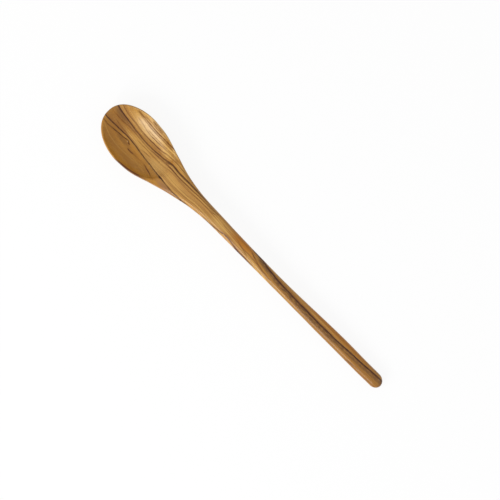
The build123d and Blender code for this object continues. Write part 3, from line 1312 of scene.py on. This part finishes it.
    def figure_group(self) -> Tree:
        """Make the group of the broad bands and thin growth lines of plain teak.

        Returns:
            The group's tree.
        """
        bench = GroupBench("teak_figure", ("Along", "Ring", "Height"), ("Colour", "Rings"))
        place = tuple(bench.given.values())
        lined = bench.slide(bench.given["Ring"], self.plain_span)
        plain = bench.times(bench.math("SUBTRACT", 1.0, lined), self.plain_share)
        hue = bench.times(bench.slide(bench.noise(place, self.hues), self.hue_span), self.hue_share)
        bands = bench.slide(bench.noise(place, self.bands), self.band_span)
        colour = bench.blend(bands, Tone.TEAK, Tone.GOLD)
        colour = bench.blend(hue, colour, Tone.PINK)
        colour = bench.blend(plain, colour, Tone.TEAK)
        ridge = bench.math("MULTIPLY_ADD", bench.noise(place, self.rings), 2.0, -1.0)
        line = bench.slide(bench.math("ABSOLUTE", ridge), (0.0, self.ring_width), FADING)
        line = bench.times(line, bench.slide(lined, WHOLE, self.ring_shares))
        colour = bench.blend(line, colour, Tone.THREAD)
        fine = bench.noise(place, self.fine)
        for span, tone in self.fine_tones:
            strength = bench.times(bench.slide(fine, span), self.fine_share)
            strength = bench.times(strength, bench.slide(lined, WHOLE, self.fine_shares))
            colour = bench.blend(strength, colour, tone)
        rings = bench.math("MAXIMUM", line, bench.slide(fine, self.fine_span))
        return bench.put_out(Colour=colour, Rings=rings)

    def pore_group(self) -> Tree:
        """Make the group of the pores, which show as fine dashes along the grain.

        Returns:
            The group's tree.
        """
        bench = GroupBench("teak_pores", ("Along", "Layer", "Height", "Rings"), ("Pores", "Fibres"))
        *place, rings = bench.given.values()
        dash = bench.slide(bench.noise(place, self.dashes), self.dash_span)
        pores = bench.times(dash, bench.slide(rings, self.pore_span, self.pore_shares))
        return bench.put_out(Pores=pores, Fibres=bench.noise(place, self.fibres))

    def build(self, lines: tuple[GrainLine, ...], spots: tuple[SoftSpot, ...]) -> bpy.types.Material:
        """Make the material.

        Args:
            lines: The lines of the grain, with the two main streaks among them.
            spots: The soft spots.

        Returns:
            The material.
        """
        material = bpy.data.materials.new("oiled_teak")
        material.use_nodes = True
        bench = Bench(material.node_tree)
        position = bench.node("TexCoord").outputs["Object"]
        along, layer, height = bench.group(self.place_group(), {"Position": position})
        share = bench.math("DIVIDE", along, self.length)
        wander = bench.noise((along, layer, 0.0), self.wander)
        wander = bench.math("MULTIPLY_ADD", wander, self.wander_reach, -self.wander_reach / 2)
        layer = bench.math("ADD", layer, wander)
        whole = bench.slide(bench.noise((along, layer, 0.0), self.fraying), self.fraying_span)
        ring = self.ring(bench, share, layer, lines)
        colour, rings = bench.group(self.figure_group(), {"Along": along, "Ring": ring, "Height": height})
        spot_tree = self.spot_group()
        for spot in spots:
            inputs = {
                "Colour": colour,
                "Along": along,
                "Layer": layer,
                "Centre Along": spot.centre[0],
                "Centre Layer": self.layer_of(spot.centre[1], self.surface.height(*spot.centre)),
                "Reach Along": spot.reach[0],
                "Reach Layer": spot.reach[1],
                "Softness": spot.softness,
                "Strength": spot.strength,
                "Spot Colour": spot.tone,
            }
            (colour,) = bench.group(spot_tree, inputs)
        line_tree = self.line_group()
        dark = 0.0
        for line in lines:
            strengths = [(distance / self.length, strength) for distance, _, strength in line.path]
            strength = bench.curve(share, self.to_ends(strengths))
            worn = bench.math("MULTIPLY_ADD", whole, line.frayed, 1.0 - line.frayed)
            inputs = {
                "Colour": colour,
                "Lines": dark,
                "Layer": layer,
                "Place": bench.curve(share, self.layer_path(line)),
                "Strength": bench.times(strength, worn),
                "Core": line.core,
                "Fade": line.fade,
                "Core Colour": line.tone,
                "Fade Colour": line.fade_tone,
            }
            colour, dark = bench.group(line_tree, inputs)
        self.finish(bench, colour, dark, {"Along": along, "Layer": layer, "Height": height, "Rings": rings})
        return material

    def finish(self, bench: Bench, colour: Socket, dark: Socket, place: dict[str, Socket]) -> None:
        """Add pores and fibres, and join everything to the shader.

        Args:
            bench: The material's bench.
            colour: The colour with its lines.
            dark: Where the dark lines are.
            place: The distance along, the layer, the height and where the growth lines are.
        """
        pores, fibres = bench.group(self.pore_group(), place)
        colour = bench.blend(bench.times(pores, self.pore_depth), colour, Tone.UMBER)
        lift = bench.slide(fibres, self.fibre_span, self.fibre_lift)
        colour = bench.blend(1.0, colour, bench.vector(lift, lift, lift), "MULTIPLY")
        smooth = self.roughness - self.fibre_roughness / 2
        roughness = bench.math("MULTIPLY_ADD", fibres, self.fibre_roughness, smooth)
        roughness = bench.math("MULTIPLY_ADD", dark, self.line_roughness, roughness)
        high = bench.math("SUBTRACT", fibres, pores)
        bump = bench.node("Bump", {"Height": high, "Strength": self.bump, "Distance": self.relief})
        inputs = {"Base Color": colour, "Roughness": roughness, "Normal": bump.outputs[0]}
        inputs["Specular IOR Level"] = self.specular
        bench.fill(bench.tree.nodes["Principled BSDF"], inputs)

    @staticmethod
    def to_ends(points: list[Pair]) -> list[Pair]:
        """Carry a row of points on to 0 and 1 at its ends.

        Args:
            points: Places from 0 to 1 with their values.

        Returns:
            The points, with one at each end that has none.
        """
        if points[0][0] > 0:
            points = [(0.0, points[0][1]), *points]
        if points[-1][0] < 1:
            points = [*points, (1.0, points[-1][1])]
        return points

    def layer_path(self, line: GrainLine) -> list[Pair]:
        """Find the layers along a line that is seen on top.

        Args:
            line: The line of the grain.

        Returns:
            Shares of the length and of the range of layers, point by point.
        """
        offsets = GuideLine(*((distance, offset) for distance, offset, _ in line.path))
        start, end = line.path[0][0], line.path[-1][0]
        points = []
        for distance in np.linspace(start, end, round((end - start) / self.path_step) + 2):
            offset = float(offsets.at(distance))
            layer = self.layer_of(offset, self.surface.height(float(distance), offset))
            points.append((float(distance) / self.length, self.layer_share(layer)))
        return self.to_ends(points)

    def ring(self, bench: Bench, share: Socket, layer: Socket, lines: tuple[GrainLine, ...]) -> Socket:
        """Count the layers so that they follow the two main streaks, and lie closer above them.

        Args:
            bench: The material's bench.
            share: The share of the length.
            layer: The layer.
            lines: The lines of the grain, with the two main streaks among them.

        Returns:
            The ring's socket.
        """
        paths = {line.name: self.layer_path(line) for line in lines if line.name in MAIN_STREAKS}
        upper, lower = (paths[name] for name in MAIN_STREAKS)
        lower = [point for point in lower if point[0] < self.streak_end]
        lower += [(place, self.layer_share(tail)) for place, tail in self.streak_tail]
        heart = bench.curve(share, upper)
        top = bench.math("SUBTRACT", layer, self.unshared(bench, heart))
        gap = bench.math("SUBTRACT", heart, bench.curve(share, lower))
        gap = bench.times(gap, 2 * self.layer_reach)
        counted = bench.times(bench.math("DIVIDE", top, gap), self.streak_gap)
        counted = bench.math("ADD", counted, self.heart_ring)
        counted = bench.math("MULTIPLY_ADD", counted, 1 / (2 * self.layer_reach), 0.5, clamp=True)
        room = self.ring_room
        spaced = [(self.layer_share(start), self.layer_share(end) / 2 + room) for start, end in RING_PLACES]
        spread = bench.curve(counted, spaced)
        return bench.math("MULTIPLY_ADD", spread, 4 * self.layer_reach, -(1 + 4 * room) * self.layer_reach)


@dataclass
class Surface:
    """The spoon's surface, seen from above."""

    tree: BVHTree
    form: SpoonForm
    look_from: float = 1000.0

    def height(self, distance: float, offset: float) -> float:
        """Give the height of the top at a place, or of the widest edge just outside it.

        Args:
            distance: The distance from the tip.
            offset: The offset from the middle.

        Returns:
            The height, in millimetres.
        """
        start = Vector((distance - self.form.length / 2, offset, self.look_from)) * MM
        hit = self.tree.ray_cast(start, Vector((0, 0, -1)))[0]
        if hit is not None:
            return hit.z / MM
        return float(self.form.heights(np.array([distance]))[0][0])


@dataclass(frozen=True)
class Lamp:
    """A flat soft lamp that faces the spoon, with its size and distance in metres."""

    name: str
    elevation: float
    azimuth: float
    distance: float
    size: Pair
    power: float


LAMPS = (
    Lamp("key_lamp", 35.0, -112.0, 1.6, (0.7, 0.5), 8.3),
    Lamp("gleam_lamp", 36.0, -82.0, 1.6, (0.2, 0.9), 9.5),
)


@dataclass(frozen=True)
class Studio:
    """The white table, the light and the camera above them."""

    centre: Pair = (3.8, 2.85)
    turn_cos: float = 0.70595
    turn_sin: float = 0.70826
    width_seen: float = 387.1
    focus_height: float = 10.0
    camera_height: float = 2100.0
    sensor: float = 36.0
    surround: float = 0.66
    table_reach: float = 3.0
    table_height: float = -0.0002
    table_tone: tuple[float, float, float, float] = (0.9, 0.9, 0.9, 1)
    table_roughness: float = 0.9
    table_white: float = 0.9

    def camera(self) -> None:
        """Hang the camera over the spoon, turned so that the spoon lies across the picture."""
        data = bpy.data.cameras.new("camera")
        data.sensor_width = self.sensor
        data.lens = self.sensor * (self.camera_height - self.focus_height) / self.width_seen
        camera = linked("camera", data)
        right = Vector((self.turn_cos, self.turn_sin, 0))
        up = Vector((-self.turn_sin, self.turn_cos, 0))
        back = Vector((0, 0, 1))
        turned = Matrix((right, up, back)).transposed().to_4x4()
        turned.translation = Vector((*self.centre, self.camera_height)) * MM
        camera.matrix_world = turned
        bpy.context.scene.camera = camera

    @staticmethod
    def lamp(lamp: Lamp) -> None:
        """Hang one lamp so that it faces the spoon.

        Args:
            lamp: The lamp to hang.
        """
        data = bpy.data.lights.new(lamp.name, "AREA")
        data.shape = "RECTANGLE"
        data.size, data.size_y = lamp.size
        data.energy = lamp.power
        hung = linked(lamp.name, data)
        rise, turn = math.radians(lamp.elevation), math.radians(lamp.azimuth)
        out = Vector((math.cos(rise) * math.cos(turn), math.cos(rise) * math.sin(turn), math.sin(rise)))
        hung.location = out * lamp.distance
        hung.rotation_euler = (-out).to_track_quat("-Z", "Y").to_euler()

    @staticmethod
    def as_seen(bench: Bench, share: float, lit: Socket, white: Socket) -> Socket:
        """Show a shader in white to rays that look at it straight, in a gloss or through glass.

        Args:
            bench: The bench of the world or the material.
            share: How much of the white they see.
            lit: The shader for all other rays.
            white: The white shader.

        Returns:
            The mixed shader's socket.
        """
        path = bench.node("LightPath").outputs
        looks = bench.math("MAXIMUM", path["Is Camera Ray"], path["Is Glossy Ray"])
        looks = bench.times(bench.math("MAXIMUM", looks, path["Is Transmission Ray"]), share)
        return bench.node("MixShader", {0: looks, 1: lit, 2: white}).outputs[0]

    def world(self) -> None:
        """Make a pale surround that the camera sees as white."""
        world = bpy.data.worlds.new("surround")
        bpy.context.scene.world = world
        world.use_nodes = True
        world.node_tree.nodes.clear()
        bench = Bench(world.node_tree)
        soft = bench.node("Background", {"Color": WHITE, "Strength": self.surround})
        white = bench.node("Background", {"Color": WHITE})
        mixed = self.as_seen(bench, 1.0, soft.outputs[0], white.outputs[0])
        bench.node("OutputWorld", {"Surface": mixed})

    def table(self) -> None:
        """Lay the white table that the spoon rests on."""
        mesh_data = bmesh.new()
        bmesh.ops.create_grid(mesh_data, x_segments=1, y_segments=1, size=self.table_reach)
        table = linked_mesh("table", mesh_data)
        table.location.z = self.table_height
        material = bpy.data.materials.new("white_table")
        material.use_nodes = True
        bench = Bench(material.node_tree)
        inputs = {"Base Color": self.table_tone, "Roughness": self.table_roughness}
        inputs["Specular IOR Level"] = 0.0
        shader = bench.fill(bench.tree.nodes["Principled BSDF"], inputs)
        white = bench.node("Emission")
        mixed = self.as_seen(bench, self.table_white, shader.outputs[0], white.outputs[0])
        bench.fill(bench.tree.nodes["Material Output"], {"Surface": mixed})
        table.data.materials.append(material)

    def build(self) -> None:
        """Set up everything round the spoon."""
        self.camera()
        for lamp in LAMPS:
            self.lamp(lamp)
        self.world()
        self.table()
        bpy.context.scene.view_settings.view_transform = "Standard"


def main() -> None:
    """Build the spoon and the studio round it."""
    logging.basicConfig(level=logging.INFO, format="%(name)s: %(message)s")
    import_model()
    Studio().build()
    log.info("studio: camera, lamps, surround and table")
    spoon = Spoon(SpoonForm())
    piece = spoon.build()
    piece.data.materials.append(OiledTeak(spoon.surface).build(GRAIN_LINES, SOFT_SPOTS))
    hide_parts("spoon")
    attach(piece, "root")
    log.info("%s: %d faces", piece.name, len(piece.data.polygons))


if __name__ == "__main__":
    main()
